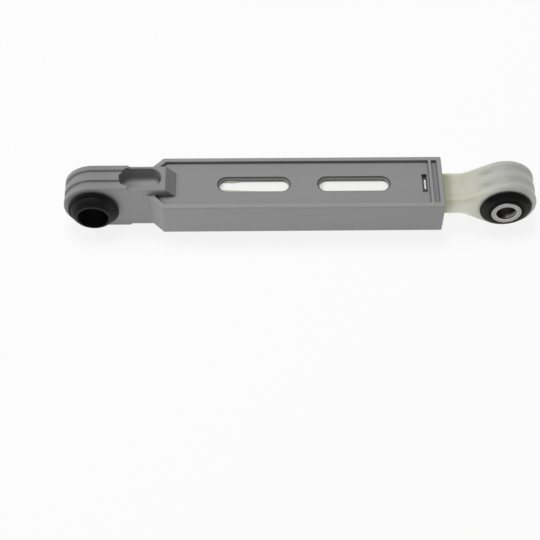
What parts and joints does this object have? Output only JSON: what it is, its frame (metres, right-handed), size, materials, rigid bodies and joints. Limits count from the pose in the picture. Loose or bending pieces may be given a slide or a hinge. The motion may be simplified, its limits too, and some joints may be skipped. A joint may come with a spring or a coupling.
{
  "type": "washing machine shock absorber",
  "caption": "Friction damper for a washing machine's tub: a moulded box with slotted faces and a bushed lug eye, and a rod with a bushed eye that slides in it.",
  "frame": {"origin": "centre of the housing eye's bore, at the middle of its length", "axes": "+X along the damper towards the rod's eye, Y along both eye bores, +Z out of one slotted face"},
  "size_m": [0.1975, 0.0266, 0.026],
  "materials": {
    "housing": "fine spark-eroded mould texture",
    "rod": "natural, satin",
    "guide": "natural, satin",
    "pad": "open foam, greased",
    "bush": "moulded, soft sheen",
    "sleeve": "zinc plated"
  },
  "bodies": {
    "housing": {"housing": "housing", "housing_bush": "bush", "rod_guide": "guide", "friction_pad_front": "pad", "friction_pad_back": "pad"},
    "rod": {"rod": "rod", "rod_bush": "bush", "rod_sleeve": "sleeve"}
  },
  "joints": [
    {"name": "rod_slide", "type": "slide", "parent": "housing", "child": "rod", "axis": [1, 0, 0], "range_m": [-0.0075, 0.0555]}
  ]
}
